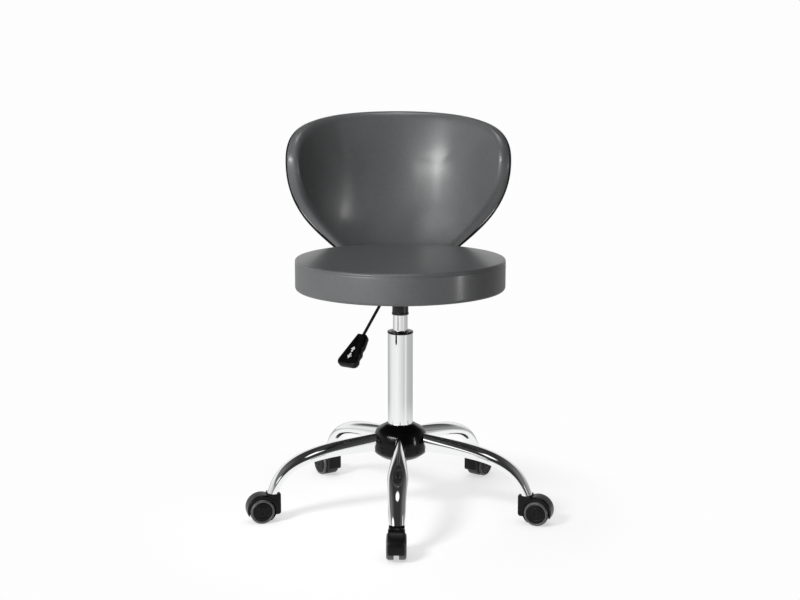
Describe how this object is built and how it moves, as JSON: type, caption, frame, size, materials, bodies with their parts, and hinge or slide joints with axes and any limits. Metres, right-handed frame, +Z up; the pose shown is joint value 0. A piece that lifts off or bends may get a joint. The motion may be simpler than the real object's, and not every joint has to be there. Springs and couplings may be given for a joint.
{
  "type": "rolling stool with backrest",
  "caption": "Height-adjustable rolling stool with a round padded seat, a wrap-around backrest, a gas column with release lever, and a star base on twin-wheel casters.",
  "frame": {"origin": "on the floor, under the middle of the stool's overall box; the column's axis is a little off it", "axes": "+Z up, -Y the way the sitter faces, +X to the sitter's left"},
  "size_m": [0.5811, 0.5649, 0.76],
  "materials": {
    "seat_leather": "smooth grey coated upholstery, soft gloss",
    "seat_foam": "open foam",
    "plywood": "raw plywood",
    "chrome": "polished",
    "black_plastic": "satin black",
    "wheel_tread": "satin dark grey",
    "black_steel": "black powder coat",
    "bright_steel": "bright zinc",
    "bush_plastic": "natural"
  },
  "bodies": {
    "base": {"leg_1": "chrome", "leg_2": "chrome", "leg_3": "chrome", "leg_4": "chrome", "leg_5": "chrome", "hub_core": "black_steel", "hub_shell": "black_plastic", "stand_tube": "chrome", "tube_cap": "black_plastic", "guide_bush": "bush_plastic", "thrust_bearing": "bright_steel", "caster_1_stem": "bright_steel", "caster_2_stem": "bright_steel", "caster_3_stem": "bright_steel", "caster_4_stem": "bright_steel", "caster_5_stem": "bright_steel"},
    "rod": {"piston_rod": "bright_steel", "rod_clip": "bright_steel"},
    "seat": {"gas_cylinder": "chrome", "seat_plate": "black_steel", "seat_board": "plywood", "seat_foam": "seat_foam", "seat_cover": "seat_leather", "back_pad": "seat_leather", "back_board": "plywood", "back_cover": "seat_leather", "back_bracket": "black_steel", "lever_pivot_pin": "bright_steel", "plate_bolt_1": "bright_steel", "plate_bolt_2": "bright_steel", "plate_bolt_3": "bright_steel", "plate_bolt_4": "bright_steel", "bracket_bolt_1": "bright_steel", "bracket_bolt_2": "bright_steel", "back_bolt_1": "bright_steel", "back_bolt_2": "bright_steel"},
    "lever": {"lever_rod": "black_steel", "lever_handle": "black_plastic"},
    "release_pin": {"release_pin": "bright_steel"},
    "caster_1": {"caster_1_body": "black_plastic", "caster_1_axle": "bright_steel"},
    "wheel_1_left": {"caster_1_wheel_left": "wheel_tread"},
    "wheel_1_right": {"caster_1_wheel_right": "wheel_tread"},
    "caster_2": {"caster_2_body": "black_plastic", "caster_2_axle": "bright_steel"},
    "wheel_2_left": {"caster_2_wheel_left": "wheel_tread"},
    "wheel_2_right": {"caster_2_wheel_right": "wheel_tread"},
    "caster_3": {"caster_3_body": "black_plastic", "caster_3_axle": "bright_steel"},
    "wheel_3_left": {"caster_3_wheel_left": "wheel_tread"},
    "wheel_3_right": {"caster_3_wheel_right": "wheel_tread"},
    "caster_4": {"caster_4_body": "black_plastic", "caster_4_axle": "bright_steel"},
    "wheel_4_left": {"caster_4_wheel_left": "wheel_tread"},
    "wheel_4_right": {"caster_4_wheel_right": "wheel_tread"},
    "caster_5": {"caster_5_body": "black_plastic", "caster_5_axle": "bright_steel"},
    "wheel_5_left": {"caster_5_wheel_left": "wheel_tread"},
    "wheel_5_right": {"caster_5_wheel_right": "wheel_tread"}
  },
  "joints": [
    {"name": "seat_swivel", "type": "hinge", "parent": "base", "child": "rod", "pos_m": [0.00469, 0.01992, 0], "axis": [0, 0, 1], "continuous": true},
    {"name": "seat_lift", "type": "slide", "parent": "rod", "child": "seat", "axis": [0, 0, 1], "range_m": [-0.025, 0.105]},
    {"name": "lever_lift", "type": "hinge", "parent": "seat", "child": "lever", "pos_m": [-0.00945, 0.00116, 0.4275], "axis": [-0.7986, 0.6018, 0], "range_deg": [0, 9], "stiffness_Nm_per_rad": 0.6},
    {"name": "release_press", "type": "slide", "parent": "seat", "child": "release_pin", "axis": [0, 0, -1], "range_m": [0, 0.0045]},
    {"name": "caster_1_swivel", "type": "hinge", "parent": "base", "child": "caster_1", "pos_m": [-0.01026, -0.23163, 0], "axis": [0, 0, 1], "continuous": true},
    {"name": "wheel_1_left_spin", "type": "hinge", "parent": "caster_1", "child": "wheel_1_left", "pos_m": [-0.01162, -0.25459, 0.02371], "axis": [0.9982, -0.0593, 0], "continuous": true},
    {"name": "wheel_1_right_spin", "type": "hinge", "parent": "caster_1", "child": "wheel_1_right", "pos_m": [-0.01162, -0.25459, 0.02371], "axis": [0.9982, -0.0593, 0], "continuous": true},
    {"name": "caster_2_swivel", "type": "hinge", "parent": "base", "child": "caster_2", "pos_m": [0.23931, -0.07202, 0], "axis": [0, 0, 1], "continuous": true},
    {"name": "wheel_2_left_spin", "type": "hinge", "parent": "caster_2", "child": "wheel_2_left", "pos_m": [0.26073, -0.08042, 0.02371], "axis": [0.3649, 0.9311, 0], "continuous": true},
    {"name": "wheel_2_right_spin", "type": "hinge", "parent": "caster_2", "child": "wheel_2_right", "pos_m": [0.26073, -0.08042, 0.02371], "axis": [0.3649, 0.9311, 0], "continuous": true},
    {"name": "caster_3_swivel", "type": "hinge", "parent": "base", "child": "caster_3", "pos_m": [0.16464, 0.21465, 0], "axis": [0, 0, 1], "continuous": true},
    {"name": "wheel_3_left_spin", "type": "hinge", "parent": "caster_3", "child": "wheel_3_left", "pos_m": [0.17924, 0.23243, 0.02371], "axis": [-0.7727, 0.6347, 0], "continuous": true},
    {"name": "wheel_3_right_spin", "type": "hinge", "parent": "caster_3", "child": "wheel_3_right", "pos_m": [0.17924, 0.23243, 0.02371], "axis": [-0.7727, 0.6347, 0], "continuous": true},
    {"name": "caster_4_swivel", "type": "hinge", "parent": "base", "child": "caster_4", "pos_m": [-0.13108, 0.23222, 0], "axis": [0, 0, 1], "continuous": true},
    {"name": "wheel_4_left_spin", "type": "hinge", "parent": "caster_4", "child": "wheel_4_left", "pos_m": [-0.14347, 0.2516, 0.02371], "axis": [-0.8425, -0.5388, 0], "continuous": true},
    {"name": "wheel_4_right_spin", "type": "hinge", "parent": "caster_4", "child": "wheel_4_right", "pos_m": [-0.14347, 0.2516, 0.02371], "axis": [-0.8425, -0.5388, 0], "continuous": true},
    {"name": "caster_5_swivel", "type": "hinge", "parent": "base", "child": "caster_5", "pos_m": [-0.23917, -0.0436, 0], "axis": [0, 0, 1], "continuous": true},
    {"name": "wheel_5_left_spin", "type": "hinge", "parent": "caster_5", "child": "wheel_5_left", "pos_m": [-0.26143, -0.04939, 0.02371], "axis": [0.2521, -0.9677, 0], "continuous": true},
    {"name": "wheel_5_right_spin", "type": "hinge", "parent": "caster_5", "child": "wheel_5_right", "pos_m": [-0.26143, -0.04939, 0.02371], "axis": [0.2521, -0.9677, 0], "continuous": true}
  ],
  "couplings": [
    {"joint": "release_press", "follows": "lever_lift", "m_per_rad": 0.0235}
  ]
}
